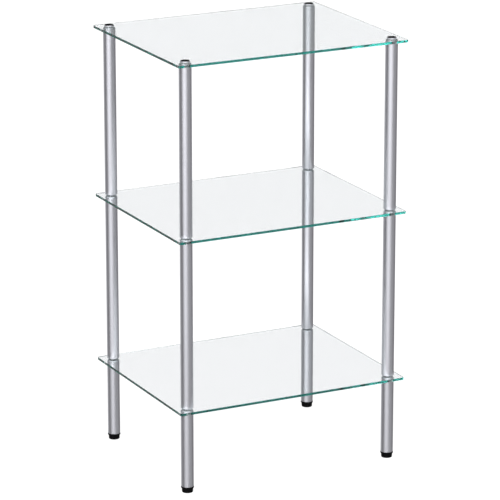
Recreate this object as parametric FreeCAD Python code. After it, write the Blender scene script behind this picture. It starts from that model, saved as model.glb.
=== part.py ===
import FreeCAD
import Part

import os

# Glass bathroom shelf unit: three glass shelves clamped between tube posts.
# Millimetres. X runs along the long side, Y from front to back, Z up.
# The origin is on the floor, under the middle of the shelves.

# Shelves
shelf_width = 400.0
shelf_depth = 320.0
glass_thickness = 4.0
glass_corner_radius = 4.0
glass_arris = 0.25
post_inset = 20.0

# Post tubes, rolled in at the ends that meet a shelf
tube_diameter = 20.0
tube_wall = 1.2
tube_inner_roll = 0.2
tube_end_seat = 2.0
tube_foot_round = 0.8
leg_length = 125.0
bay_tube_length = 274.0

# Foot glides
foot_height = 9.2
foot_flange_height = 2.2
foot_flange_overhang = 0.4
foot_flange_round = 0.5
foot_body_setback = 0.8
foot_taper = 0.4
foot_bottom_round = 1.0
foot_stem_length = 16.0
foot_stem_wall = 2.5
foot_floor = 4.0
foot_rib_height = 1.5
foot_rib_depth = 0.8
foot_rib_count = 3

# Bushes and washers between metal and glass
pad_thickness = 0.6
pad_setback = 0.3
bush_wall = 1.6
bush_end_gap = 0.2

# Studs, and the threaded inserts that take them and the cap screws
thread_diameter = 6.0
thread_engagement = 14.0
thread_end_chamfer = 0.8
insert_length = 20.0
insert_chamfer = 0.6
insert_groove_width = 1.5
insert_groove_depth = 0.6
insert_groove_count = 2

# Cap on top of each post: a wide flat screw head and the black plug in its socket
cap_head_diameter = 15.0
cap_head_height = 1.6
cap_head_round = 0.4
hex_key_size = 4.0
hex_key_depth = 3.0
plug_disc_setback = 0.4
plug_disc_thickness = 0.6
plug_disc_round = 0.4
plug_stem_gap = 0.4

# Clearances, on the radius
press_clearance = 0.05
thread_clearance = 0.05
through_clearance = 0.2
glass_hole_clearance = 0.2
plug_clearance = 0.1

MATCH = 1e-6

# Radii that pieces share
tube_radius = tube_diameter / 2
tube_bore_radius = tube_radius - tube_wall
tube_end_roll = tube_wall + tube_inner_roll
tube_seat_radius = tube_radius - tube_end_roll
tube_mouth_radius = tube_seat_radius - tube_end_seat
pad_radius = tube_seat_radius - pad_setback
thread_radius = thread_diameter / 2
through_radius = thread_radius + through_clearance
bush_radius = through_radius + bush_wall
glass_hole_radius = bush_radius + glass_hole_clearance
insert_radius = tube_bore_radius - press_clearance
cap_head_radius = cap_head_diameter / 2

# How far an insert lies behind the end of its tube, under the rolled lip
insert_recess = tube_wall + press_clearance

# Heights, stacked from the floor
shelf_pitch = bay_tube_length + glass_thickness + 2 * pad_thickness
leg_top = foot_height + leg_length
bottom_glass_z = leg_top + pad_thickness
middle_glass_z = bottom_glass_z + shelf_pitch
top_glass_z = middle_glass_z + shelf_pitch
middle_tube_z = bottom_glass_z + glass_thickness + pad_thickness
upper_tube_z = middle_tube_z + shelf_pitch
upper_tube_top = upper_tube_z + bay_tube_length
cap_z = top_glass_z + glass_thickness + pad_thickness

POSTS = {
    "front_left": (-1, -1),
    "front_right": (1, -1),
    "back_left": (-1, 1),
    "back_right": (1, 1),
}


def post_centre(signs):
    """Where a post's axis stands on the floor plan."""
    x = signs[0] * (shelf_width / 2 - post_inset)
    y = signs[1] * (shelf_depth / 2 - post_inset)
    return FreeCAD.Vector(x, y, 0)


def lathe(profile):
    """A solid of revolution about Z from a closed outline of (radius, height) points."""
    points = [FreeCAD.Vector(radius, 0, height) for radius, height in profile]
    outline = Part.makePolygon(points + points[:1])
    return Part.Face(outline).revolve(FreeCAD.Vector(0, 0, 0), FreeCAD.Vector(0, 0, 1), 360)


def hexagon_prism(across_flats, bottom, height):
    """An upright hexagonal prism about Z, standing at the height of its bottom."""
    corner_radius = across_flats / 3**0.5
    first = FreeCAD.Vector(corner_radius, 0, bottom)
    turns = [FreeCAD.Rotation(FreeCAD.Vector(0, 0, 1), 60 * corner) for corner in range(7)]
    outline = Part.makePolygon([turn.multVec(first) for turn in turns])
    return Part.Face(outline).extrude(FreeCAD.Vector(0, 0, height))


def ring_edges(solid, *places):
    """The circular edges of a turned solid at the given (radius, height) places."""
    found = []
    for edge in solid.Edges:
        if not isinstance(edge.Curve, Part.Circle):
            continue
        for radius, height in places:
            same_radius = abs(edge.Curve.Radius - radius) < MATCH
            same_height = abs(edge.Curve.Center.z - height) < MATCH
            if same_radius and same_height:
                found.append(edge)
    return found


def rounded(solid, radius, *places):
    return solid.makeFillet(radius, ring_edges(solid, *places))


def chamfered(solid, size, *places):
    return solid.makeChamfer(size, ring_edges(solid, *places))


def make_shelf():
    """A glass plate with rounded corners, arrised edges and a hole for each post, lying on Z = 0."""
    corner = FreeCAD.Vector(-shelf_width / 2, -shelf_depth / 2, 0)
    plate = Part.makeBox(shelf_width, shelf_depth, glass_thickness, corner)
    upright = [edge for edge in plate.Edges if abs(edge.tangentAt(edge.FirstParameter).z) > 0.5]
    plate = plate.makeFillet(glass_corner_radius, upright)
    for signs in POSTS.values():
        plate = plate.cut(Part.makeCylinder(glass_hole_radius, glass_thickness, post_centre(signs)))
    level = [edge for edge in plate.Edges if edge.BoundBox.ZLength < MATCH]
    return plate.makeChamfer(glass_arris, level)


def make_bay_tube():
    """A tube between two shelves, standing on Z = 0: both ends are rolled in to a narrower mouth."""
    top = bay_tube_length
    tube = lathe(
        [
            (tube_mouth_radius, 0),
            (tube_radius, 0),
            (tube_radius, top),
            (tube_mouth_radius, top),
            (tube_mouth_radius, top - tube_wall),
            (tube_bore_radius, top - tube_wall),
            (tube_bore_radius, tube_wall),
            (tube_mouth_radius, tube_wall),
        ]
    )
    tube = rounded(tube, tube_end_roll, (tube_radius, 0), (tube_radius, top))
    return rounded(tube, tube_inner_roll, (tube_bore_radius, tube_wall), (tube_bore_radius, top - tube_wall))


def make_leg_tube():
    """A leg, standing on Z = 0: rolled in at its top, and cut straight above the foot glide."""
    top = leg_length
    tube = lathe(
        [
            (tube_bore_radius, 0),
            (tube_radius, 0),
            (tube_radius, top),
            (tube_mouth_radius, top),
            (tube_mouth_radius, top - tube_wall),
            (tube_bore_radius, top - tube_wall),
        ]
    )
    tube = rounded(tube, tube_end_roll, (tube_radius, top))
    tube = rounded(tube, tube_inner_roll, (tube_bore_radius, top - tube_wall))
    return rounded(tube, min(tube_foot_round, 0.8 * tube_wall), (tube_radius, 0))


def make_foot_glide():
    """A black glide: tapered foot, flange under the tube's end, and a ribbed hollow stem inside the tube."""
    flange_radius = tube_radius + foot_flange_overhang
    body_radius = tube_radius - foot_body_setback
    sole_radius = body_radius - foot_taper
    flange_z = foot_height - foot_flange_height
    stem_top = foot_height + foot_stem_length
    rib_radius = tube_bore_radius - press_clearance
    stem_radius = rib_radius - foot_rib_depth
    hollow_radius = stem_radius - foot_stem_wall
    profile = [
        (0, 0),
        (sole_radius, 0),
        (body_radius, flange_z),
        (flange_radius, flange_z),
        (flange_radius, foot_height),
        (stem_radius, foot_height),
    ]
    rib_step = foot_stem_length / foot_rib_count
    for index in range(foot_rib_count):
        rib_top = foot_height + (index + 1) * rib_step
        rib_bottom = rib_top - foot_rib_height
        profile += [(stem_radius, rib_bottom), (rib_radius, rib_bottom), (stem_radius, rib_top)]
    profile += [(hollow_radius, stem_top), (hollow_radius, foot_floor), (0, foot_floor)]
    glide = rounded(lathe(profile), foot_bottom_round, (sole_radius, 0))
    return rounded(glide, foot_flange_round, (flange_radius, flange_z), (flange_radius, foot_height))


def make_insert():
    """A threaded insert with grip grooves, its outer face on Z = 0 and its body below."""
    bore_radius = thread_radius + thread_clearance
    groove_radius = insert_radius - insert_groove_depth
    profile = [(bore_radius, 0), (bore_radius, -insert_length), (insert_radius, -insert_length)]
    groove_step = insert_length / (insert_groove_count + 1)
    for index in range(insert_groove_count):
        groove_bottom = -insert_length + (index + 1) * groove_step - insert_groove_width / 2
        groove_top = groove_bottom + insert_groove_width
        profile += [
            (insert_radius, groove_bottom),
            (groove_radius, groove_bottom),
            (groove_radius, groove_top),
            (insert_radius, groove_top),
        ]
    profile.append((insert_radius, 0))
    insert = chamfered(lathe(profile), insert_chamfer, (insert_radius, -insert_length))
    return chamfered(insert, tube_inner_roll, (insert_radius, 0))


def make_bush():
    """A clear flanged bush: the flange lies on Z = 0, the sleeve hangs into the hole in the glass."""
    sleeve_end = -(glass_thickness - bush_end_gap)
    return lathe(
        [
            (through_radius, sleeve_end),
            (bush_radius, sleeve_end),
            (bush_radius, 0),
            (pad_radius, 0),
            (pad_radius, pad_thickness),
            (through_radius, pad_thickness),
        ]
    )


def make_washer():
    """A clear flat washer lying on Z = 0."""
    return lathe(
        [
            (through_radius, 0),
            (pad_radius, 0),
            (pad_radius, pad_thickness),
            (through_radius, pad_thickness),
        ]
    )


def make_stud():
    """A double-ended stud, its lower tube's end on Z = 0, reaching into both tubes."""
    joint_gap = glass_thickness + 2 * pad_thickness
    reach = insert_recess + thread_engagement
    bottom = -reach
    top = joint_gap + reach
    stud = Part.makeCylinder(thread_radius, top - bottom, FreeCAD.Vector(0, 0, bottom))
    return chamfered(stud, thread_end_chamfer, (thread_radius, bottom), (thread_radius, top))


def make_cap_screw():
    """A connector screw, the underside of its wide flat head on Z = 0, with a hexagon socket."""
    tip = -(2 * pad_thickness + glass_thickness + insert_recess + thread_engagement)
    screw = lathe(
        [
            (0, tip),
            (thread_radius, tip),
            (thread_radius, 0),
            (cap_head_radius, 0),
            (cap_head_radius, cap_head_height),
            (0, cap_head_height),
        ]
    )
    screw = chamfered(screw, thread_end_chamfer, (thread_radius, tip))
    screw = rounded(screw, cap_head_round, (cap_head_radius, cap_head_height))
    return screw.cut(hexagon_prism(hex_key_size, cap_head_height - hex_key_depth, hex_key_depth))


def make_cap_plug():
    """A black plug: its disc lies on the screw's head, Z = 0, and its stem fills the hexagon socket."""
    disc_radius = cap_head_radius - plug_disc_setback
    disc = lathe([(0, 0), (disc_radius, 0), (disc_radius, plug_disc_thickness), (0, plug_disc_thickness)])
    disc = rounded(disc, plug_disc_round, (disc_radius, plug_disc_thickness))
    stem_length = hex_key_depth - plug_stem_gap
    return disc.fuse(hexagon_prism(hex_key_size - 2 * plug_clearance, -stem_length, stem_length)).removeSplitter()


def placed(shape, place, height, upside_down=False):
    """A copy of a piece standing at a place on the floor plan, at a height."""
    copy = shape.copy()
    if upside_down:
        copy.rotate(FreeCAD.Vector(0, 0, 0), FreeCAD.Vector(1, 0, 0), 180)
    copy.translate(place + FreeCAD.Vector(0, 0, height))
    return copy


def save(name, shape):
    shape.exportStep(f"parts/{name}.step")


def save_one_per_post(name, shape, height):
    for post, signs in POSTS.items():
        save(f"{name}_{post}", placed(shape, post_centre(signs), height))


def save_group(name, shape, height, upside_down=False):
    """The same piece on all four posts, as one node of separate solids."""
    solids = [placed(shape, post_centre(signs), height, upside_down) for signs in POSTS.values()]
    save(name, Part.makeCompound(solids))


def main():
    os.makedirs("parts", exist_ok=True)
    on_the_axis = FreeCAD.Vector(0, 0, 0)

    shelf = make_shelf()
    bush = make_bush()
    washer = make_washer()
    shelf_heights = {"bottom": bottom_glass_z, "middle": middle_glass_z, "top": top_glass_z}
    for level, height in shelf_heights.items():
        save(f"shelf_{level}", placed(shelf, on_the_axis, height))
        save_group(f"bushes_{level}_shelf", bush, height + glass_thickness)
        save_group(f"washers_{level}_shelf", washer, height - pad_thickness)

    bay_tube = make_bay_tube()
    save_one_per_post("leg_tube", make_leg_tube(), foot_height)
    save_one_per_post("middle_tube", bay_tube, middle_tube_z)
    save_one_per_post("upper_tube", bay_tube, upper_tube_z)
    save_one_per_post("foot_glide", make_foot_glide(), 0)

    insert = make_insert()
    insert_tops = {"leg": leg_top, "middle_tube": middle_glass_z - pad_thickness, "upper_tube": upper_tube_top}
    insert_bottoms = {"middle_tube": middle_tube_z, "upper_tube": upper_tube_z}
    for tube, end in insert_tops.items():
        save_group(f"inserts_{tube}_top", insert, end - insert_recess)
    for tube, end in insert_bottoms.items():
        save_group(f"inserts_{tube}_bottom", insert, end + insert_recess, upside_down=True)

    stud = make_stud()
    save_group("joint_studs_bottom", stud, bottom_glass_z - pad_thickness)
    save_group("joint_studs_middle", stud, middle_glass_z - pad_thickness)

    save_one_per_post("cap_screw", make_cap_screw(), cap_z)
    save_one_per_post("cap_plug", make_cap_plug(), cap_z + cap_head_height)


main()
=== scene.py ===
"""Glass bathroom shelf unit: three clear shelves clamped in four satin silver posts, with their finishes."""

import math

import bmesh
import bpy
import numpy as np
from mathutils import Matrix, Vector


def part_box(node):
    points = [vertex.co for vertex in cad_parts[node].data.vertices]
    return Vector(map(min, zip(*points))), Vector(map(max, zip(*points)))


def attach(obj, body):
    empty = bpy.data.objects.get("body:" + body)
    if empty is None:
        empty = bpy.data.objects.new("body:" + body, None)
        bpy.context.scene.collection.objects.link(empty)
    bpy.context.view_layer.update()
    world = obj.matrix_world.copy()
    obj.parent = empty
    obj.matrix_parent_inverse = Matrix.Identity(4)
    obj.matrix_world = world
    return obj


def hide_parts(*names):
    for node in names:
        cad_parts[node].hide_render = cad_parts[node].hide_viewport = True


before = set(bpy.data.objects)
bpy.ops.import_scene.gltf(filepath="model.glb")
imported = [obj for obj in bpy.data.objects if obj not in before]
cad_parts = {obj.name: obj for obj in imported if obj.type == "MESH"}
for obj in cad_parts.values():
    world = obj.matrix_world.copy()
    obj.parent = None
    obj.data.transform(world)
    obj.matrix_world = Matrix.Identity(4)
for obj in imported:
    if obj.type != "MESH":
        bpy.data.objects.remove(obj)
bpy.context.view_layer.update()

bl_info = {
    "name": "Glass shelf unit",
    "version": (1, 0, 0),
    "blender": (4, 5, 0),
    "location": "View3D > Sidebar > Shelf unit",
    "description": "Builds the shelves, posts, caps and feet of a glass bathroom shelf unit",
    "category": "Add Mesh",
}

MM = 0.001
BODY = "root"
LEVELS = ("bottom", "middle", "top")
POSTS = ("front_left", "front_right", "back_left", "back_right")
TUBES = ("leg_tube", "middle_tube", "upper_tube")
FASTENER_NODES = [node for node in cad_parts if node.startswith(("joint_studs", "inserts"))]

TURN_STEPS = 96
ARC_STEPS = 7
CORNER_STEPS = 12
# Extra points this close to a rounding keep the long flat stretches beside it flat when they are shaded
GUARD = 0.05 * MM
# Milky plastic stops this far short of what it touches, so that no two see-through faces lie in one plane
SEAT_GAP = 0.03 * MM
SHARP_ANGLE = math.radians(35)
# Roughness of the glass by surface, kept in an attribute of each shelf's faces
GROUND = "ground"
EDGE_GROUND = 0.12
HOLE_GROUND = 0.4
MERGE_DISTANCE = 0.001 * MM

WHITE = (1, 1, 1, 1)
# Soft lights of the room, seen from the unit: degrees to the right of the camera, degrees below level,
# reach in degrees, and how many times wider than high
ROOM_LIGHTS = {
    "front": (-13, 6, 60, 7),
    "top": (-13, -70, 60, 1),
    "side": (65, 10, 55, 1),
    "floor": (0, 90, 55, 1),
    "back": (180, 12, 50, 4),
    "left": (-127, 16, 35, 2),
}
# Pools of light painted into the floor's glow, each on the side of a room light: reach in degrees, and
# strength
PAINTED_FLOOR_POOLS = {"front": (75, 1.35), "side": (35, 0.6), "left": (35, 0.6)}
# Strength of the floor's glow between the painted pools
PAINTED_POOL_REST = 0.5
# Glow of the floor for the eye, which the light on it makes up to white, and for light by an edge
FLOOR_GLOW = 0.96
FLOOR_GLOW_BY_EDGE = 1.2
# A look through a shelf crosses this many faces
PLATE_FACES = 2
# Light that has bounced this often has gone a long way between the faces of a shelf
EDGE_BOUNCES = 5
# Light crosses a shelf from edge to edge in some twenty bounces, and may cross it twice
GLASS_BOUNCES = 40
# Sine of the slope at which a look through glass would find the world twice as bright, and the least counted
DOUBLING_SLOPE = 0.184
LEAST_SLOPE = 0.2
# Share of that gain in what metal behind glass mirrors
METAL_SHARE = 0.7
SOFT_BOX_WIDTH = 2.5
SOFT_BOX_HEIGHT = 3.2
# Millimetres, as the lens
SENSOR_WIDTH = 36


def linear(code):
    """An sRGB hex colour as linear red, green, blue."""
    values = np.array([int(code[place : place + 2], 16) for place in (1, 3, 5)]) / 255
    return tuple(np.where(values <= 0.04045, values / 12.92, ((values + 0.055) / 1.055) ** 2.4))


def opaque(colour):
    """A colour with full alpha."""
    return (*colour, 1.0)


def node_size(node):
    """The middle of a CAD node on the floor plan, its radius across X, and its lowest and highest Z."""
    low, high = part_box(node)
    middle = (low + high) / 2
    return np.array(middle[:2]), (high.x - low.x) / 2, low.z, high.z


POST_PLACES = {post: node_size(f"leg_tube_{post}")[0] for post in POSTS}
TUBE_RADIUS = node_size("leg_tube_front_left")[1]


class ShelfUnitGlass(bpy.types.PropertyGroup):
    """Sizes and colours of the three glass shelves."""

    corner_radius: bpy.props.FloatProperty(
        name="Corner radius",
        description="Rounding of the shelves' corners on the plan",
        default=4 * MM,
        min=1 * MM,
        unit="LENGTH",
    )
    arris: bpy.props.FloatProperty(
        name="Arris",
        description="Width of the small rounding that takes the sharpness off each polished edge",
        default=0.25 * MM,
        min=0.1 * MM,
        unit="LENGTH",
    )
    hole_radius: bpy.props.FloatProperty(
        name="Hole radius",
        description="Radius of the drilled hole for each post's stud",
        default=5 * MM,
        min=1 * MM,
        unit="LENGTH",
    )
    tint: bpy.props.FloatVectorProperty(
        name="Tint",
        description="Colour that the glass takes on in depth",
        default=linear("#37cbc6"),
        subtype="COLOR",
        min=0,
        max=1,
    )
    tint_density: bpy.props.FloatProperty(
        name="Tint density",
        description="Strength of the tint for each metre of the way through the glass",
        default=13,
        min=0,
    )


class ShelfUnitPosts(bpy.types.PropertyGroup):
    """Sizes and colours of the tubes, caps, feet and bushes."""

    tube_wall: bpy.props.FloatProperty(
        name="Tube wall",
        description="Wall thickness of the post tubes",
        default=1.2 * MM,
        min=0.3 * MM,
        unit="LENGTH",
    )
    tube_end_roll: bpy.props.FloatProperty(
        name="Tube end roll",
        description="Outer radius of the tube's end where it is rolled in to meet a shelf",
        default=1.4 * MM,
        min=1.3 * MM,
        unit="LENGTH",
    )
    tube_end_seat: bpy.props.FloatProperty(
        name="Tube end seat",
        description="Width of the flat ring between the roll and the tube's mouth",
        default=2 * MM,
        min=0.2 * MM,
        unit="LENGTH",
    )
    tube_foot_round: bpy.props.FloatProperty(
        name="Tube foot rounding",
        description="Rounding of the outer edge at the straight lower end of a leg",
        default=0.8 * MM,
        min=0.1 * MM,
        unit="LENGTH",
    )
    screw_radius: bpy.props.FloatProperty(
        name="Screw radius",
        description="Radius of the cap screws' shanks",
        default=3 * MM,
        min=1 * MM,
        unit="LENGTH",
    )
    head_height: bpy.props.FloatProperty(
        name="Head height",
        description="Height of the cap screws' wide flat heads",
        default=1.6 * MM,
        min=0.5 * MM,
        unit="LENGTH",
    )
    socket_flats: bpy.props.FloatProperty(
        name="Socket size",
        description="Distance across the flats of the hexagon socket in each cap screw",
        default=4 * MM,
        min=1 * MM,
        unit="LENGTH",
    )
    socket_depth: bpy.props.FloatProperty(
        name="Socket depth",
        description="Depth of the hexagon socket",
        default=3 * MM,
        min=0.5 * MM,
        unit="LENGTH",
    )
    plug_dish: bpy.props.FloatProperty(
        name="Plug dish",
        description="How much the black plug's top sinks from its rim to its middle",
        default=0.15 * MM,
        min=0,
        unit="LENGTH",
    )
    foot_height: bpy.props.FloatProperty(
        name="Foot height",
        description="Height of the black glide below the tube's end",
        default=9.2 * MM,
        min=3 * MM,
        unit="LENGTH",
    )
    through_radius: bpy.props.FloatProperty(
        name="Through hole radius",
        description="Radius of the way through bushes and washers for the stud or screw",
        default=3.2 * MM,
        min=1 * MM,
        unit="LENGTH",
    )
    silver_colour: bpy.props.FloatVectorProperty(
        name="Silver colour",
        description="Colour of the satin silver lacquer",
        default=linear("#d5d5dc"),
        subtype="COLOR",
        min=0,
        max=1,
    )
    black_colour: bpy.props.FloatVectorProperty(
        name="Black colour",
        description="Colour of the moulded glides and plugs",
        default=linear("#040406"),
        subtype="COLOR",
        min=0,
        max=1,
    )


class ShelfUnitStage(bpy.types.PropertyGroup):
    """Camera, light and floor."""

    camera_place: bpy.props.FloatVectorProperty(
        name="Camera place",
        description="Where the camera stands",
        default=(-2.2928, -4.5564, 1.8476),
        subtype="TRANSLATION",
    )
    camera_yaw: bpy.props.FloatProperty(
        name="Camera yaw",
        description="How far the camera's view turns from straight at the front towards the right",
        default=math.radians(26.724),
        subtype="ANGLE",
    )
    camera_pitch: bpy.props.FloatProperty(
        name="Camera pitch",
        description="How far the camera looks down",
        default=math.radians(16.489),
        subtype="ANGLE",
    )
    lens: bpy.props.FloatProperty(
        name="Lens",
        description="Focal length on a 36 mm wide frame",
        default=237.24,
        min=10,
        unit="CAMERA",
    )
    floor_width: bpy.props.FloatProperty(
        name="Floor width",
        description="Side of the square floor",
        default=30,
        min=2,
        unit="LENGTH",
    )
    room_strength: bpy.props.FloatProperty(
        name="Room strength",
        description="Brightness of the grey room all round",
        default=0.19,
        min=0,
    )
    front_strength: bpy.props.FloatProperty(
        name="Front strength",
        description="Brightness of the lit floor in front, as metal sees it",
        default=3.0,
        min=0,
    )
    side_strength: bpy.props.FloatProperty(
        name="Side strength",
        description="Brightness of the light on the right",
        default=0.22,
        min=0,
    )
    floor_strength: bpy.props.FloatProperty(
        name="Floor strength",
        description="Brightness of the white floor straight below, as metal sees it",
        default=0.8,
        min=0,
    )
    top_strength: bpy.props.FloatProperty(
        name="Top strength",
        description="Brightness of the wide light above the camera",
        default=2.2,
        min=0,
    )
    back_strength: bpy.props.FloatProperty(
        name="Back strength",
        description="Brightness of the backdrop, as glass and metal mirror it",
        default=0.6,
        min=0,
    )
    left_strength: bpy.props.FloatProperty(
        name="Left strength",
        description="Brightness of the lit floor behind on the left, as glass and metal mirror it",
        default=0.35,
        min=0,
    )
    top_power: bpy.props.FloatProperty(
        name="Top power",
        description="Power of the soft box above",
        default=8,
        min=0,
        unit="POWER",
    )


def add_node(tree, kind, inputs=None, **settings):
    """Adds a node with its settings. An input is a value, or a socket that is linked to it."""
    node = tree.nodes.new(kind)
    for name, value in settings.items():
        setattr(node, name, value)
    for name, value in (inputs or {}).items():
        if isinstance(value, bpy.types.NodeSocket):
            tree.links.new(value, node.inputs[name])
        else:
            node.inputs[name].default_value = value
    return node


def new_material(name):
    """An empty node material and its tree."""
    material = bpy.data.materials.new(name)
    material.use_nodes = True
    material.node_tree.nodes.clear()
    return material, material.node_tree


def tinted_float_glass(tint, density):
    """Float glass, drawn flat on molten tin, its edges ground and polished, its holes drilled.

    The faces are fire polished and pass light evenly. Iron in the melt takes the red out of the light that
    goes the long way through the plate, so the edges look sea green and the faces clear. The edges keep a
    trace of the polishing wheel, and the drilled walls stay matt: that is the attribute called ground."""
    material, tree = new_material("tinted_float_glass")
    ground = add_node(tree, "ShaderNodeAttribute", attribute_name=GROUND)
    shader = add_node(
        tree,
        "ShaderNodeBsdfPrincipled",
        {
            "Base Color": WHITE,
            "Roughness": ground.outputs["Fac"],
            "IOR": 1.52,
            "Transmission Weight": 1.0,
        },
    )
    depth = add_node(tree, "ShaderNodeVolumeAbsorption", {"Color": opaque(tint), "Density": density})
    add_node(
        tree,
        "ShaderNodeOutputMaterial",
        {"Surface": shader.outputs["BSDF"], "Volume": depth.outputs["Volume"]},
    )
    return material


def satin_silver_lacquer(colour):
    """Silver lacquer with fine aluminium flake, sprayed on steel tube: a soft broad highlight, no mirror."""
    material, tree = new_material("satin_silver_lacquer")
    place = add_node(tree, "ShaderNodeTexCoord")
    flake = add_node(
        tree,
        "ShaderNodeTexNoise",
        {"Vector": place.outputs["Object"], "Scale": 1 / (0.9 * MM), "Detail": 3.0},
    )
    roughness = add_node(
        tree,
        "ShaderNodeMapRange",
        {"Value": flake.outputs["Fac"], "To Min": 0.32, "To Max": 0.4},
    )
    bump = add_node(
        tree,
        "ShaderNodeBump",
        {"Height": flake.outputs["Fac"], "Strength": 0.06, "Distance": 0.05 * MM},
    )
    shader = add_node(
        tree,
        "ShaderNodeBsdfPrincipled",
        {
            "Base Color": opaque(colour),
            "Metallic": 1.0,
            "Roughness": roughness.outputs["Result"],
            "Normal": bump.outputs["Normal"],
        },
    )
    add_node(tree, "ShaderNodeOutputMaterial", {"Surface": shader.outputs["BSDF"]})
    return material


def moulded_black_polyethylene(colour):
    """Black polyethylene, injection moulded in an eroded tool: a fine even grain with a dull sheen."""
    material, tree = new_material("moulded_black_polyethylene")
    place = add_node(tree, "ShaderNodeTexCoord")
    grain = add_node(
        tree,
        "ShaderNodeTexNoise",
        {"Vector": place.outputs["Object"], "Scale": 1 / (0.5 * MM), "Detail": 2.0},
    )
    roughness = add_node(
        tree,
        "ShaderNodeMapRange",
        {"Value": grain.outputs["Fac"], "To Min": 0.5, "To Max": 0.64},
    )
    bump = add_node(
        tree,
        "ShaderNodeBump",
        {"Height": grain.outputs["Fac"], "Strength": 0.15, "Distance": 0.05 * MM},
    )
    shader = add_node(
        tree,
        "ShaderNodeBsdfPrincipled",
        {
            "Base Color": opaque(colour),
            "Roughness": roughness.outputs["Result"],
            "IOR": 1.51,
            "Specular IOR Level": 0.1,
            "Normal": bump.outputs["Normal"],
        },
    )
    add_node(tree, "ShaderNodeOutputMaterial", {"Surface": shader.outputs["BSDF"]})
    return material


def natural_polyethylene():
    """Undyed polyethylene, moulded and punched: it lets light through but scatters it, so it looks milky."""
    material, tree = new_material("natural_polyethylene")
    shader = add_node(
        tree,
        "ShaderNodeBsdfPrincipled",
        {
            "Base Color": opaque(linear("#eef1f3")),
            "Roughness": 0.3,
            "IOR": 1.51,
            "Transmission Weight": 0.5,
        },
    )
    add_node(tree, "ShaderNodeOutputMaterial", {"Surface": shader.outputs["BSDF"]})
    return material


def zinc_plated_steel():
    """Steel turned and zinc plated: a bluish bright metal with a faintly cloudy passivated skin."""
    material, tree = new_material("zinc_plated_steel")
    place = add_node(tree, "ShaderNodeTexCoord")
    cloud = add_node(
        tree,
        "ShaderNodeTexNoise",
        {"Vector": place.outputs["Object"], "Scale": 1 / (3 * MM), "Detail": 3.0},
    )
    roughness = add_node(
        tree,
        "ShaderNodeMapRange",
        {"Value": cloud.outputs["Fac"], "To Min": 0.25, "To Max": 0.45},
    )
    shader = add_node(
        tree,
        "ShaderNodeBsdfPrincipled",
        {
            "Base Color": opaque(linear("#c3c7cc")),
            "Metallic": 1.0,
            "Roughness": roughness.outputs["Result"],
        },
    )
    add_node(tree, "ShaderNodeOutputMaterial", {"Surface": shader.outputs["BSDF"]})
    return material


def rounded_outline(corners):
    """Points (radius, height) of an outline through corners given as (radius, height, rounding).

    A rounding of r replaces its corner by an arc of radius r that is tangent to both sides: the arc starts
    and ends at r / tan(half the corner's angle) from the corner, with a guard point just outside each end."""
    count = len(corners)
    stretches = []
    for index, (radius, height, rounding) in enumerate(corners):
        corner = np.array([radius, height])
        if rounding == 0:
            stretches.append(corner[None, :])
            continue
        before = np.array(corners[index - 1][:2]) - corner
        after = np.array(corners[(index + 1) % count][:2]) - corner
        before /= np.linalg.norm(before)
        after /= np.linalg.norm(after)
        half_angle = math.acos(np.dot(before, after)) / 2
        reach = rounding / math.tan(half_angle)
        inward = (before + after) / np.linalg.norm(before + after)
        centre = corner + inward * rounding / math.sin(half_angle)
        start = corner + before * reach - centre
        turn = math.pi - 2 * half_angle
        side = np.sign(start[0] * after[1] - start[1] * after[0])
        angles = np.linspace(0, side * turn, ARC_STEPS)
        arc_radius = start[0] * np.cos(angles) - start[1] * np.sin(angles)
        arc_height = start[0] * np.sin(angles) + start[1] * np.cos(angles)
        arc = centre + np.stack([arc_radius, arc_height], axis=1)
        guards = corner + np.stack([before, after]) * (reach + GUARD)
        stretches.append(np.vstack([guards[:1], arc, guards[1:]]))
    return np.vstack(stretches)


def turned(outline, place, closed, hexagonal=()):
    """Vertices and quads of an outline (radius r, height z) carried once round the upright line at place.

    A point is place + (r cos a, r sin a, z) for TURN_STEPS angles a. A closed outline joins its last point
    to its first; an open one starts and ends on the axis. The outline runs upwards on its outer side. In the
    rows named hexagonal, r is the distance to a flat and is divided by the cosine of a's turn from it."""
    angles = np.linspace(0, 2 * math.pi, TURN_STEPS, endpoint=False)
    radius = outline[:, :1] + 0 * angles
    height = outline[:, 1:] + 0 * angles
    from_flat = angles % (math.pi / 3) - math.pi / 6
    radius[list(hexagonal)] /= np.cos(from_flat)
    vertices = np.stack(
        [place[0] + radius * np.cos(angles), place[1] + radius * np.sin(angles), height],
        axis=-1,
    )
    return vertices.reshape(-1, 3), grid_quads(len(outline), TURN_STEPS, closed)


def grid_quads(rows, columns, closed_rows):
    """Quads of a grid whose columns run round in a ring and, if closed_rows, its rows too."""
    row = np.arange(rows if closed_rows else rows - 1)[:, None]
    column = np.arange(columns)[None, :]
    next_row = (row + 1) % rows
    next_column = (column + 1) % columns
    corners = [
        row * columns + column,
        row * columns + next_column,
        next_row * columns + next_column,
        next_row * columns + column,
    ]
    return np.stack(corners, axis=-1).reshape(-1, 4)


def joined(parts):
    """Several (vertices, quads) as one."""
    starts = np.cumsum([0] + [len(vertices) for vertices, _ in parts[:-1]])
    vertices = np.vstack([part[0] for part in parts])
    quads = np.vstack([part[1] + start for part, start in zip(parts, starts)])
    return vertices, quads


def add_piece(name, mesh, slot, *nodes):
    """Puts a finished mesh into the scene in place of CAD nodes."""
    piece = bpy.data.objects.new(name, mesh)
    bpy.context.scene.collection.objects.link(piece)
    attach(piece, BODY)
    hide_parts(*nodes)


def smooth_mesh(name, vertices, quads, material):
    """A mesh with its poles merged, shaded smooth apart from its sharp edges."""
    mesh = bpy.data.meshes.new(name)
    mesh.from_pydata(vertices.tolist(), [], quads.tolist())
    work = bmesh.new()
    work.from_mesh(mesh)
    bmesh.ops.remove_doubles(work, verts=work.verts, dist=MERGE_DISTANCE)
    work.to_mesh(mesh)
    work.free()
    mesh.materials.append(material)
    mesh.shade_smooth()
    mesh.set_sharp_from_angle(angle=SHARP_ANGLE)
    return mesh


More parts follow.
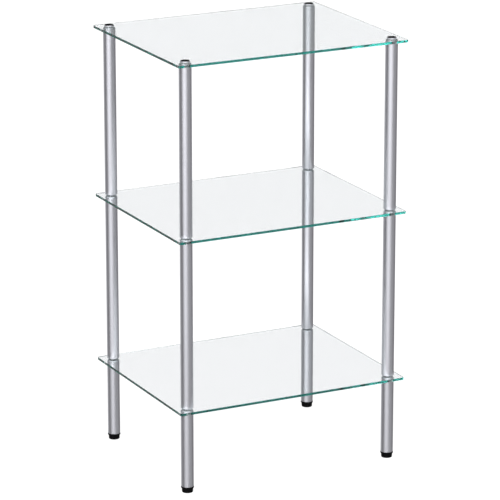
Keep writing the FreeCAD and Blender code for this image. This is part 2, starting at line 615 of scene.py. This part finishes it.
def rounded_rectangle(low, high, radius):
    """Points round a rectangle with rounded corners, and the outward direction at each.

    Each corner is a quarter circle: its centre + radius (cos a, sin a), with a guard point along the
    straight side before and after it."""
    quarter = np.linspace(0, math.pi / 2, CORNER_STEPS)
    angles = quarter + np.arange(4)[:, None] * math.pi / 2
    outward = np.stack([np.cos(angles), np.sin(angles)], axis=-1)
    sides = np.array([[1, 1], [-1, 1], [-1, -1], [1, -1]])
    middle = (low + high) / 2
    centres = middle + sides * ((high - low) / 2 - radius)
    arcs = centres[:, None, :] + radius * outward
    along = np.stack([-outward[..., 1], outward[..., 0]], axis=-1)
    before = arcs[:, :1] - along[:, :1] * GUARD
    after = arcs[:, -1:] + along[:, -1:] * GUARD
    points = np.concatenate([before, arcs, after], axis=1)
    directions = np.concatenate([outward[:, :1], outward, outward[:, -1:]], axis=1)
    return points.reshape(-1, 2), directions.reshape(-1, 2)


def plate_edge(points, outward, bottom, top, arris):
    """The edge of a glass plate: a profile carried along a closed path on the plan.

    The profile goes up from the lower face to the upper one. Its set-back from the path is
    arris (1 - cos t) and its height lies arris (1 - sin t) inside each face: a quarter circle at each end."""
    turn = np.linspace(math.pi / 2, 0, ARC_STEPS)
    set_back = arris * (1 - np.cos(turn))
    rise = arris * (1 - np.sin(turn))
    set_back = np.concatenate([set_back, [0, 0], set_back[::-1]])
    guards = [bottom + arris + GUARD, top - arris - GUARD]
    height = np.concatenate([bottom + rise, guards, top - rise[::-1]])
    plan = points - set_back[:, None, None] * outward
    heights = np.broadcast_to(height[:, None, None], (*plan.shape[:2], 1))
    vertices = np.concatenate([plan, heights], axis=-1).reshape(-1, 3)
    return vertices, grid_quads(len(height), len(points), False)


def shelf_mesh(name, low, high, settings, glass):
    """A glass plate: its outer edge, the walls of its four holes, and two flat faces filled between them.

    Its attribute ground is a number for each face: 0 on the flat faces, EDGE_GROUND on the outer edge and
    HOLE_GROUND in the holes."""
    low_plan, high_plan = np.array(low[:2]), np.array(high[:2])
    outline, outward = rounded_rectangle(low_plan, high_plan, settings.corner_radius)
    parts = [plate_edge(outline, outward, low.z, high.z, settings.arris)]
    angles = np.linspace(0, -2 * math.pi, TURN_STEPS, endpoint=False)
    radial = np.stack([np.cos(angles), np.sin(angles)], axis=-1)
    for place in POST_PLACES.values():
        rim = place + settings.hole_radius * radial
        parts.append(plate_edge(rim, -radial, low.z, high.z, settings.arris))
    vertices, quads = joined(parts)
    mesh = bpy.data.meshes.new(name)
    mesh.from_pydata(vertices.tolist(), [], quads.tolist())
    edge_faces = len(parts[0][1])
    wall_faces = len(quads)
    work = bmesh.new()
    work.from_mesh(mesh)
    for height in (low.z, high.z):
        rims = [edge for edge in work.edges if edge.is_boundary and abs(edge.verts[0].co.z - height) < GUARD]
        bmesh.ops.triangle_fill(work, edges=rims, use_beauty=True)
    bmesh.ops.recalc_face_normals(work, faces=work.faces)
    work.to_mesh(mesh)
    work.free()
    ground = np.zeros(len(mesh.polygons))
    ground[:wall_faces] = HOLE_GROUND
    ground[:edge_faces] = EDGE_GROUND
    mesh.attributes.new(GROUND, "FLOAT", "FACE").data.foreach_set("value", ground)
    smooth = np.arange(len(mesh.polygons)) < wall_faces
    mesh.polygons.foreach_set("use_smooth", smooth)
    mesh.materials.append(glass)
    return mesh


class SHELFUNIT_OT_glass_shelves(bpy.types.Operator):
    """Three clear glass shelves with polished sea green edges and a drilled hole for each post"""

    bl_idname = "shelf_unit.glass_shelves"
    bl_label = "Glass shelves"

    def execute(self, context):
        settings = context.scene.shelf_unit_glass
        glass = tinted_float_glass(settings.tint, settings.tint_density)
        for level in LEVELS:
            node = f"shelf_{level}"
            mesh = shelf_mesh(f"glass_{node}", *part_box(node), settings, glass)
            add_piece(f"glass_{node}", mesh, "clear_glass", node)
        return {"FINISHED"}


class SHELFUNIT_OT_post_tubes(bpy.types.Operator):
    """Twelve tubes in satin silver lacquer, rolled in at each end that meets a shelf"""

    bl_idname = "shelf_unit.post_tubes"
    bl_label = "Post tubes"

    def execute(self, context):
        settings = context.scene.shelf_unit_posts
        silver = satin_silver_lacquer(settings.silver_colour)
        wall, roll = settings.tube_wall, settings.tube_end_roll
        for tube in TUBES:
            for post in POSTS:
                node = f"{tube}_{post}"
                place, radius, bottom, top = node_size(node)
                bore = radius - wall
                mouth = radius - roll - settings.tube_end_seat
                rolled_top = [
                    (radius, top, roll),
                    (mouth, top, 0),
                    (mouth, top - wall, 0),
                    (bore, top - wall, roll - wall),
                ]
                straight_foot = [(bore, bottom, 0), (radius, bottom, settings.tube_foot_round)]
                rolled_foot = [
                    (bore, bottom + wall, roll - wall),
                    (mouth, bottom + wall, 0),
                    (mouth, bottom, 0),
                    (radius, bottom, roll),
                ]
                foot = straight_foot if tube == "leg_tube" else rolled_foot
                outline = rounded_outline(foot + rolled_top)
                mesh = smooth_mesh(f"satin_{node}", *turned(outline, place, True), silver)
                add_piece(f"satin_{node}", mesh, "satin_silver", node)
        return {"FINISHED"}


class SHELFUNIT_OT_cap_screws(bpy.types.Operator):
    """Four connector screws with wide flat heads, which clamp the top shelf"""

    bl_idname = "shelf_unit.cap_screws"
    bl_label = "Cap screws"

    def execute(self, context):
        settings = context.scene.shelf_unit_posts
        silver = bpy.data.materials["satin_silver_lacquer"]
        head_round = 0.4 * MM
        tip_chamfer = 0.8 * MM
        for post in POSTS:
            node = f"cap_screw_{post}"
            place, radius, tip, top = node_size(node)
            head_bottom = top - settings.head_height
            socket_floor = top - settings.socket_depth
            socket = settings.socket_flats / 2
            outside = rounded_outline(
                [
                    (0, tip, 0),
                    (settings.screw_radius - tip_chamfer, tip, 0),
                    (settings.screw_radius, tip + tip_chamfer, 0),
                    (settings.screw_radius, head_bottom, 0),
                    (radius, head_bottom, 0),
                    (radius, top, head_round),
                    (socket, top, 0),
                ]
            )
            outline = np.vstack([outside, [(socket, socket_floor), (0, socket_floor)]])
            socket_rows = (len(outside) - 1, len(outside))
            mesh = smooth_mesh(f"satin_{node}", *turned(outline, place, False, socket_rows), silver)
            add_piece(f"satin_{node}", mesh, "satin_silver", node)
        return {"FINISHED"}


class SHELFUNIT_OT_cap_plugs(bpy.types.Operator):
    """Four black plugs that close the sockets of the cap screws and cover their heads"""

    bl_idname = "shelf_unit.cap_plugs"
    bl_label = "Cap plugs"

    def execute(self, context):
        settings = context.scene.shelf_unit_posts
        black = moulded_black_polyethylene(settings.black_colour)
        rim_round = 0.4 * MM
        rim_width = 1 * MM
        stem_clearance = 0.1 * MM
        stem = settings.socket_flats / 2 - stem_clearance
        # The dish is a parabola, so half way out it still has three quarters of its depth
        half_way_dish = 0.75 * settings.plug_dish
        for post in POSTS:
            node = f"cap_plug_{post}"
            place, radius, bottom, top = node_size(node)
            head_top = node_size(f"cap_screw_{post}")[3]
            outline = rounded_outline(
                [
                    (0, bottom, 0),
                    (stem, bottom, 0),
                    (stem, head_top, 0),
                    (radius, head_top, 0),
                    (radius, top, rim_round),
                    (radius - rim_width, top, 0),
                    (radius / 2, top - half_way_dish, 0),
                    (0, top - settings.plug_dish, 0),
                ]
            )
            stem_rows = (1, 2)
            mesh = smooth_mesh(f"moulded_{node}", *turned(outline, place, False, stem_rows), black)
            add_piece(f"moulded_{node}", mesh, "black_plastic", node)
        return {"FINISHED"}


class SHELFUNIT_OT_foot_glides(bpy.types.Operator):
    """Four black glides pushed into the legs, each with a flange, a tapered foot and a ribbed hollow stem"""

    bl_idname = "shelf_unit.foot_glides"
    bl_label = "Foot glides"

    def execute(self, context):
        settings = context.scene.shelf_unit_posts
        black = bpy.data.materials["moulded_black_polyethylene"]
        flange_height = 2.2 * MM
        flange_round = 0.5 * MM
        body_setback = 0.8 * MM
        taper = 0.4 * MM
        sole_round = 1 * MM
        stem_wall = 2.5 * MM
        stem_floor = 4 * MM
        rib_count = 3
        rib_height = 1.5 * MM
        rib_depth = 0.8 * MM
        body = TUBE_RADIUS - body_setback
        for post in POSTS:
            node = f"foot_glide_{post}"
            place, radius, bottom, top = node_size(node)
            shoulder = bottom + settings.foot_height
            flange_bottom = shoulder - flange_height
            rib_radius = TUBE_RADIUS - settings.tube_wall
            stem = rib_radius - rib_depth
            corners = [
                (0, bottom, 0),
                (body - taper, bottom, sole_round),
                (body, flange_bottom, 0),
                (radius, flange_bottom, flange_round),
                (radius, shoulder, flange_round),
                (stem, shoulder, 0),
            ]
            rib_step = (top - shoulder) / rib_count
            for index in range(rib_count):
                rib_top = shoulder + (index + 1) * rib_step
                rib_bottom = rib_top - rib_height
                corners += [(stem, rib_bottom, 0), (rib_radius, rib_bottom, 0), (stem, rib_top, 0)]
            hollow = stem - stem_wall
            corners += [(hollow, top, 0), (hollow, bottom + stem_floor, 0), (0, bottom + stem_floor, 0)]
            outline = rounded_outline(corners)
            mesh = smooth_mesh(f"moulded_{node}", *turned(outline, place, False), black)
            add_piece(f"moulded_{node}", mesh, "black_plastic", node)
        return {"FINISHED"}


class SHELFUNIT_OT_bushes_and_washers(bpy.types.Operator):
    """Milky flanged bushes in the holes of the glass, and washers under it"""

    bl_idname = "shelf_unit.bushes_and_washers"
    bl_label = "Bushes and washers"

    def execute(self, context):
        posts = context.scene.shelf_unit_posts
        milky = natural_polyethylene()
        pad_round = 0.2 * MM
        sleeve_clearance = 0.2 * MM
        sleeve = context.scene.shelf_unit_glass.hole_radius - sleeve_clearance
        inner = posts.through_radius
        for level in LEVELS:
            glass_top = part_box(f"shelf_{level}")[1].z + SEAT_GAP
            _, reach, bottom, top = node_size(f"bushes_{level}_shelf")
            pad = reach - POST_PLACES["front_right"][0]
            bush = rounded_outline(
                [
                    (inner, bottom, 0),
                    (sleeve, bottom, 0),
                    (sleeve, glass_top, 0),
                    (pad, glass_top, pad_round),
                    (pad, top - SEAT_GAP, pad_round),
                    (inner, top - SEAT_GAP, 0),
                ]
            )
            _, _, bottom, top = node_size(f"washers_{level}_shelf")
            washer = rounded_outline(
                [
                    (inner, bottom + SEAT_GAP, 0),
                    (pad, bottom + SEAT_GAP, pad_round),
                    (pad, top - SEAT_GAP, pad_round),
                    (inner, top - SEAT_GAP, 0),
                ]
            )
            for kind, outline in (("bushes", bush), ("washers", washer)):
                node = f"{kind}_{level}_shelf"
                rings = [turned(outline, place, True) for place in POST_PLACES.values()]
                mesh = smooth_mesh(f"clear_{node}", *joined(rings), milky)
                add_piece(f"clear_{node}", mesh, "clear_plastic", node)
        return {"FINISHED"}


class SHELFUNIT_OT_fasteners(bpy.types.Operator):
    """Zinc plated finish for the studs and inserts inside the posts"""

    bl_idname = "shelf_unit.fasteners"
    bl_label = "Fasteners"

    def execute(self, context):
        zinc = zinc_plated_steel()
        for node in FASTENER_NODES:
            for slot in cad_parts[node].material_slots:
                slot.material = zinc
        return {"FINISHED"}


def light_paths(tree):
    """Four switches for what a ray finds: a straight look, light by an edge, out of glass, and behind glass.

    A straight look comes from the eye, also through glass. Light by an edge has gone a long way between the
    faces of a shelf. What is mirrored only a few times, by metal or inside glass, is neither."""
    rays = add_node(tree, "ShaderNodeLightPath").outputs
    through = rays["Is Transmission Ray"]
    bounces = add_node(
        tree,
        "ShaderNodeMath",
        {0: rays["Glossy Depth"], 1: rays["Diffuse Depth"]},
        operation="ADD",
    )
    straight = add_node(tree, "ShaderNodeMath", {0: bounces.outputs["Value"], 1: 0.5}, operation="LESS_THAN")
    looked_through = add_node(
        tree,
        "ShaderNodeMath",
        {0: straight.outputs["Value"], 1: through},
        operation="MULTIPLY",
    )
    looked_at = add_node(
        tree,
        "ShaderNodeMath",
        {0: rays["Is Camera Ray"], 1: looked_through.outputs["Value"]},
        operation="MAXIMUM",
    )
    far = add_node(
        tree,
        "ShaderNodeMath",
        {0: bounces.outputs["Value"], 1: EDGE_BOUNCES - 0.5},
        operation="GREATER_THAN",
    )
    by_edge = add_node(tree, "ShaderNodeMath", {0: far.outputs["Value"], 1: through}, operation="MULTIPLY")
    behind_glass = add_node(
        tree,
        "ShaderNodeMath",
        {0: rays["Transmission Depth"], 1: PLATE_FACES - 0.5},
        operation="GREATER_THAN",
    )
    return looked_at.outputs["Value"], by_edge.outputs["Value"], through, behind_glass.outputs["Value"]


def light_patch(tree, direction, towards, reach, strength, rest, flatten=1):
    """A smooth patch of light: rest outside the angle reach, in degrees, and rest + strength in its middle.

    Flatten makes it that many times lower than wide: heights are multiplied by it about the patch's own."""
    stretched = add_node(
        tree,
        "ShaderNodeVectorMath",
        {0: direction, 1: (1, 1, flatten), 2: (0, 0, towards[2] * (1 - flatten))},
        operation="MULTIPLY_ADD",
    )
    unit = add_node(tree, "ShaderNodeVectorMath", {0: stretched.outputs["Vector"]}, operation="NORMALIZE")
    facing = add_node(
        tree,
        "ShaderNodeVectorMath",
        {0: unit.outputs["Vector"], 1: towards},
        operation="DOT_PRODUCT",
    )
    patch = add_node(
        tree,
        "ShaderNodeMapRange",
        {
            "Value": facing.outputs["Value"],
            "From Min": math.cos(math.radians(reach)),
            "To Max": strength,
        },
        interpolation_type="SMOOTHSTEP",
    )
    total = add_node(tree, "ShaderNodeMath", {0: patch.outputs["Result"], 1: rest}, operation="ADD")
    return total.outputs["Value"]


def light_side(name, yaw):
    """The direction from the unit to a room light, for a camera that is turned by yaw."""
    turn, drop = (math.radians(angle) for angle in ROOM_LIGHTS[name][:2])
    level = math.cos(drop)
    return Vector((math.sin(turn - yaw) * level, -math.cos(turn - yaw) * level, -math.sin(drop)))


def studio_floor_paint(yaw):
    """Pale floor paint, rolled on and lit to white for the eye.

    What metal mirrors, and a straight look through glass, pass it and find the world. Light that left glass
    after a few bounces finds pools of light painted into its glow, and light by an edge finds its glow even."""
    material, tree = new_material("studio_floor_paint")
    rays = add_node(tree, "ShaderNodeLightPath").outputs
    through = rays["Is Transmission Ray"]
    place = add_node(tree, "ShaderNodeTexCoord").outputs["Object"]
    # Painted pools of light: the floor's glow is made brighter on the side of each room light
    pool = PAINTED_POOL_REST
    for name, (reach, pool_strength) in PAINTED_FLOOR_POOLS.items():
        pool = light_patch(tree, place, light_side(name, yaw), reach, pool_strength, pool)
    even = add_node(
        tree,
        "ShaderNodeMath",
        {0: through, 1: FLOOR_GLOW_BY_EDGE - FLOOR_GLOW, 2: FLOOR_GLOW},
        operation="MULTIPLY_ADD",
    )
    # True from one bounce up to the last before the light counts as light by an edge
    few_bounces = add_node(
        tree,
        "ShaderNodeMath",
        {0: rays["Glossy Depth"], 1: EDGE_BOUNCES / 2, 2: (EDGE_BOUNCES - 1) / 2},
        operation="COMPARE",
    )
    strength = add_node(
        tree,
        "ShaderNodeMix",
        {"Factor": few_bounces.outputs["Value"], "A": even.outputs["Value"], "B": pool},
        data_type="FLOAT",
    )
    shade = add_node(tree, "ShaderNodeBsdfDiffuse", {"Color": opaque(linear("#6d6d6d"))})
    glow = add_node(tree, "ShaderNodeEmission", {"Strength": strength.outputs["Result"]})
    lit = add_node(tree, "ShaderNodeAddShader", {0: shade.outputs["BSDF"], 1: glow.outputs["Emission"]})
    open_floor = add_node(tree, "ShaderNodeBsdfTransparent")
    bounced = add_node(tree, "ShaderNodeMath", {0: rays["Glossy Depth"], 1: through}, operation="MULTIPLY")
    white = add_node(
        tree,
        "ShaderNodeMath",
        {0: rays["Is Camera Ray"], 1: bounced.outputs["Value"]},
        operation="ADD",
        use_clamp=True,
    )
    mixed = add_node(
        tree,
        "ShaderNodeMixShader",
        {"Fac": white.outputs["Value"], 1: open_floor.outputs["BSDF"], 2: lit.outputs["Shader"]},
    )
    add_node(tree, "ShaderNodeOutputMaterial", {"Surface": mixed.outputs["Shader"]})
    return material


def edge_light(tree, direction, height, yaw, pitch):
    """Light for the edges of the glass: bright low down, dim higher up, brightest on the side they mirror."""
    low, high = math.radians(13), math.radians(20)
    low_strength, high_strength = 2.0, 0.3
    window_reach, window_strength, window_rest = 40, 4.0, 1.0
    by_height = add_node(
        tree,
        "ShaderNodeMapRange",
        {
            "Value": height,
            "From Min": math.sin(low),
            "From Max": math.sin(high),
            "To Min": low_strength,
            "To Max": high_strength,
        },
    )
    # Light that leaves the back edge of a shelf after a bounce off its right edge goes to this side
    mirrored_side = Vector((-math.sin(yaw), math.cos(yaw), math.sin(pitch))).normalized()
    window = light_patch(tree, direction, mirrored_side, window_reach, window_strength, window_rest)
    total = add_node(
        tree,
        "ShaderNodeMath",
        {0: by_height.outputs["Result"], 1: window},
        operation="MULTIPLY",
    )
    return total.outputs["Value"]


def glass_gain(tree, height):
    """By how much more light what lies behind glass has, for a look whose slope has the sine Z.

    It is (DOUBLING_SLOPE / Z) squared, and makes up for about what a shelf mirrors away."""
    slope = add_node(tree, "ShaderNodeMath", {0: height}, operation="ABSOLUTE")
    counted = add_node(
        tree,
        "ShaderNodeMath",
        {0: slope.outputs["Value"], 1: LEAST_SLOPE},
        operation="MAXIMUM",
    )
    ratio = add_node(
        tree,
        "ShaderNodeMath",
        {0: DOUBLING_SLOPE, 1: counted.outputs["Value"]},
        operation="DIVIDE",
    )
    gain = add_node(tree, "ShaderNodeMath", {0: ratio.outputs["Value"], 1: 2}, operation="POWER")
    return gain.outputs["Value"]


def studio_world(settings):
    """A grey room with soft lights, which is white to the eye.

    What lies behind glass is brighter by about what a shelf mirrors away, as through a polarising filter.
    Light by the edges of the glass has a strength of its own."""
    world = bpy.data.worlds.new("studio_world")
    world.use_nodes = True
    tree = world.node_tree
    tree.nodes.clear()
    yaw, pitch = settings.camera_yaw, settings.camera_pitch
    looked_at, by_edge, through, behind_glass = light_paths(tree)
    direction = add_node(tree, "ShaderNodeTexCoord").outputs["Generated"]
    height = add_node(tree, "ShaderNodeSeparateXYZ", {"Vector": direction}).outputs["Z"]
    room = settings.room_strength
    for name, (_, _, reach, flatten) in ROOM_LIGHTS.items():
        strength = getattr(settings, f"{name}_strength")
        room = light_patch(tree, direction, light_side(name, yaw), reach, strength, room, flatten)
    gain = glass_gain(tree, height)
    metal_gain = add_node(tree, "ShaderNodeMath", {0: gain, 1: METAL_SHARE}, operation="MULTIPLY")
    room_factor = add_node(
        tree,
        "ShaderNodeMath",
        {0: behind_glass, 1: metal_gain.outputs["Value"], 2: 1},
        operation="MULTIPLY_ADD",
    )
    mirrored_room = add_node(
        tree,
        "ShaderNodeMath",
        {0: room, 1: room_factor.outputs["Value"]},
        operation="MULTIPLY",
    )
    white_factor = add_node(tree, "ShaderNodeMath", {0: through, 1: gain, 2: 1}, operation="MULTIPLY_ADD")
    white_colour = add_node(
        tree,
        "ShaderNodeMix",
        {"Factor": through, "A": WHITE, "B": opaque(linear("#fffcfe"))},
        data_type="RGBA",
    )
    grey = add_node(
        tree,
        "ShaderNodeBackground",
        {"Color": WHITE, "Strength": mirrored_room.outputs["Value"]},
    )
    white = add_node(
        tree,
        "ShaderNodeBackground",
        {"Color": white_colour.outputs["Result"], "Strength": white_factor.outputs["Value"]},
    )
    edges = add_node(
        tree,
        "ShaderNodeBackground",
        {"Color": WHITE, "Strength": edge_light(tree, direction, height, yaw, pitch)},
    )
    seen = add_node(
        tree,
        "ShaderNodeMixShader",
        {"Fac": looked_at, 1: grey.outputs["Background"], 2: white.outputs["Background"]},
    )
    mixed = add_node(
        tree,
        "ShaderNodeMixShader",
        {"Fac": by_edge, 1: seen.outputs["Shader"], 2: edges.outputs["Background"]},
    )
    add_node(tree, "ShaderNodeOutputWorld", {"Surface": mixed.outputs["Shader"]})
    return world


def studio_floor(settings):
    """The square floor under the unit."""
    half = settings.floor_width / 2
    mesh = bpy.data.meshes.new("studio_floor")
    corners = [(-half, -half, 0), (half, -half, 0), (half, half, 0), (-half, half, 0)]
    mesh.from_pydata(corners, [], [(0, 1, 2, 3)])
    mesh.materials.append(studio_floor_paint(settings.camera_yaw))
    floor = bpy.data.objects.new("studio_floor", mesh)
    # The posts mirror the room and its lights, not the floor, and light from below passes it
    floor.visible_glossy = False
    floor.visible_shadow = False
    return floor


def top_soft_box(power):
    """A square area lamp that faces down on the unit. The eye does not see the lamp, nor through glass."""
    lamp = bpy.data.lights.new("top_soft_box", "AREA")
    lamp.shape = "SQUARE"
    lamp.size = SOFT_BOX_WIDTH
    lamp.energy = power
    holder = bpy.data.objects.new("top_soft_box", lamp)
    holder.location = (0, 0, SOFT_BOX_HEIGHT)
    holder.visible_camera = False
    holder.visible_transmission = False
    return holder


def photo_camera(settings):
    """A camera that looks from its place by yaw and pitch, with no shift."""
    camera = bpy.data.cameras.new("photo_camera")
    camera.lens = settings.lens
    camera.sensor_width = SENSOR_WIDTH
    holder = bpy.data.objects.new("photo_camera", camera)
    holder.location = settings.camera_place
    yaw, pitch = settings.camera_yaw, settings.camera_pitch
    level = math.cos(pitch)
    look = Vector((math.sin(yaw) * level, math.cos(yaw) * level, -math.sin(pitch)))
    holder.rotation_mode = "QUATERNION"
    holder.rotation_quaternion = look.to_track_quat("-Z", "Y")
    return holder


class SHELFUNIT_OT_stage(bpy.types.Operator):
    """Floor, grey room, its light and the camera"""

    bl_idname = "shelf_unit.stage"
    bl_label = "Stage"

    def execute(self, context):
        scene = context.scene
        settings = scene.shelf_unit_stage
        floor = studio_floor(settings)
        camera = photo_camera(settings)
        for stage_piece in (floor, top_soft_box(settings.top_power), camera):
            scene.collection.objects.link(stage_piece)
        scene.world = studio_world(settings)
        scene.camera = camera
        scene.view_settings.view_transform = "Standard"
        scene.cycles.max_bounces = GLASS_BOUNCES
        scene.cycles.glossy_bounces = GLASS_BOUNCES
        scene.cycles.transmission_bounces = GLASS_BOUNCES
        return {"FINISHED"}


OPERATORS = (
    SHELFUNIT_OT_glass_shelves,
    SHELFUNIT_OT_post_tubes,
    SHELFUNIT_OT_cap_screws,
    SHELFUNIT_OT_cap_plugs,
    SHELFUNIT_OT_foot_glides,
    SHELFUNIT_OT_bushes_and_washers,
    SHELFUNIT_OT_fasteners,
    SHELFUNIT_OT_stage,
)


class SHELFUNIT_PT_build(bpy.types.Panel):
    """Lists the shelf unit's pieces and their settings"""

    bl_idname = "SHELFUNIT_PT_build"
    bl_label = "Shelf unit"
    bl_space_type = "VIEW_3D"
    bl_region_type = "UI"
    bl_category = "Shelf unit"

    def draw(self, context):
        for operator in OPERATORS:
            self.layout.operator(operator.bl_idname)
        scene = context.scene
        for group in (scene.shelf_unit_glass, scene.shelf_unit_posts, scene.shelf_unit_stage):
            box = self.layout.box()
            for name in group.__annotations__:
                box.prop(group, name)


CLASSES = (ShelfUnitGlass, ShelfUnitPosts, ShelfUnitStage, *OPERATORS, SHELFUNIT_PT_build)


def register():
    for cls in CLASSES:
        bpy.utils.register_class(cls)
    bpy.types.Scene.shelf_unit_glass = bpy.props.PointerProperty(type=ShelfUnitGlass)
    bpy.types.Scene.shelf_unit_posts = bpy.props.PointerProperty(type=ShelfUnitPosts)
    bpy.types.Scene.shelf_unit_stage = bpy.props.PointerProperty(type=ShelfUnitStage)


def unregister():
    del bpy.types.Scene.shelf_unit_stage
    del bpy.types.Scene.shelf_unit_posts
    del bpy.types.Scene.shelf_unit_glass
    for cls in reversed(CLASSES):
        bpy.utils.unregister_class(cls)


def main():
    register()
    bpy.ops.shelf_unit.glass_shelves()
    bpy.ops.shelf_unit.post_tubes()
    bpy.ops.shelf_unit.cap_screws()
    bpy.ops.shelf_unit.cap_plugs()
    bpy.ops.shelf_unit.foot_glides()
    bpy.ops.shelf_unit.bushes_and_washers()
    bpy.ops.shelf_unit.fasteners()
    bpy.ops.shelf_unit.stage()


if __name__ == "__main__":
    main()
